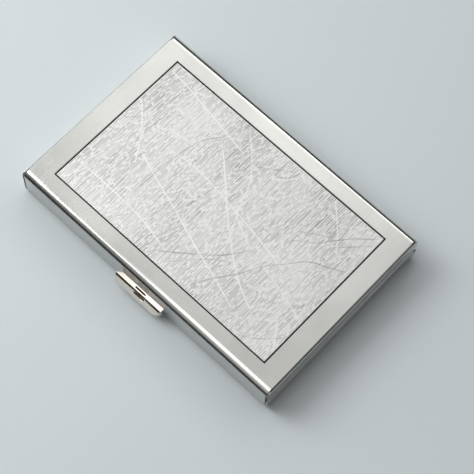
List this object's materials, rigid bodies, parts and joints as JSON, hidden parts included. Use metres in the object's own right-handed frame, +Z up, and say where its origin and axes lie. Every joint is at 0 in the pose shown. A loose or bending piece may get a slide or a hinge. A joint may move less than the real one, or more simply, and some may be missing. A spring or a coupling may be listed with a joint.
{
  "type": "business card case",
  "caption": "Slim hinged steel card case with embossed silver panels, a sprung bowed clasp and a pleated film organiser for cards.",
  "frame": {"origin": "on the ground plane under the middle of the closed case's bounding box, clasp and hinge barrel included", "axes": "+X along the long side, +Y from the clasp side to the hinge side, +Z up through the lid"},
  "size_m": [0.0966, 0.0666, 0.0125],
  "materials": {
    "steel_polished": "polished stainless sheet with fine wear scratches",
    "embossed_foil": "silver foil embossed with short strokes and long creases",
    "nickel": "warm nickel plate",
    "spring_steel": "blank spring strip",
    "hinge_steel": "bright drawn steel",
    "film": "black calendered film, semi-gloss",
    "adhesive": "double-sided tissue tape"
  },
  "bodies": {
    "base": {"base_shell": "steel_polished", "base_inlay_adhesive": "adhesive", "base_inlay_panel": "embossed_foil", "base_hinge_leaf": "hinge_steel", "hinge_pin": "hinge_steel", "keeper_plate": "spring_steel", "base_leaf_adhesive": "adhesive", "base_end_leaf": "film", "gusset_left": "film", "gusset_right": "film", "organiser_spine": "film"},
    "lid": {"lid_shell": "steel_polished", "lid_inlay_adhesive": "adhesive", "lid_inlay_panel": "embossed_foil", "lid_hinge_leaf": "hinge_steel", "lid_leaf_adhesive": "adhesive", "catch_spring": "spring_steel"},
    "clasp": {"thumb_piece": "nickel", "clasp_rivets": "nickel"},
    "divider_1": {"divider_1": "film"},
    "divider_2": {"divider_2": "film"},
    "divider_3": {"divider_3": "film"},
    "divider_4": {"divider_4": "film"},
    "divider_5": {"divider_5": "film"},
    "lid_end_leaf": {"lid_end_leaf": "film"}
  },
  "joints": [
    {"name": "lid_hinge", "type": "hinge", "parent": "base", "child": "lid", "pos_m": [0, 0.03213, 0.00625], "axis": [-1, 0, 0], "range_deg": [0, 120], "deforming": ["gusset_left", "gusset_right", "organiser_spine"]},
    {"name": "clasp_pull", "type": "slide", "parent": "lid", "child": "clasp", "axis": [0, -1, 0], "range_m": [0, 0.0007], "stiffness_N_per_m": 1500, "deforming": ["catch_spring"]},
    {"name": "divider_1_fold", "type": "hinge", "parent": "base", "child": "divider_1", "pos_m": [0, 0.03213, 0.00625], "axis": [-1, 0, 0], "range_deg": [0, 20]},
    {"name": "divider_2_fold", "type": "hinge", "parent": "divider_1", "child": "divider_2", "pos_m": [0, 0.03213, 0.00625], "axis": [-1, 0, 0], "range_deg": [0, 20]},
    {"name": "divider_3_fold", "type": "hinge", "parent": "divider_2", "child": "divider_3", "pos_m": [0, 0.03213, 0.00625], "axis": [-1, 0, 0], "range_deg": [0, 20]},
    {"name": "divider_4_fold", "type": "hinge", "parent": "divider_3", "child": "divider_4", "pos_m": [0, 0.03213, 0.00625], "axis": [-1, 0, 0], "range_deg": [0, 20]},
    {"name": "divider_5_fold", "type": "hinge", "parent": "divider_4", "child": "divider_5", "pos_m": [0, 0.03213, 0.00625], "axis": [-1, 0, 0], "range_deg": [0, 20]},
    {"name": "lid_end_leaf_fold", "type": "hinge", "parent": "divider_5", "child": "lid_end_leaf", "pos_m": [0, 0.03213, 0.00625], "axis": [-1, 0, 0], "range_deg": [0, 20]}
  ],
  "couplings": [
    {"joint": "divider_1_fold", "follows": "lid_hinge", "ratio": 0.16667},
    {"joint": "divider_2_fold", "follows": "lid_hinge", "ratio": 0.16667},
    {"joint": "divider_3_fold", "follows": "lid_hinge", "ratio": 0.16667},
    {"joint": "divider_4_fold", "follows": "lid_hinge", "ratio": 0.16667},
    {"joint": "divider_5_fold", "follows": "lid_hinge", "ratio": 0.16667},
    {"joint": "lid_end_leaf_fold", "follows": "lid_hinge", "ratio": 0.16667}
  ]
}
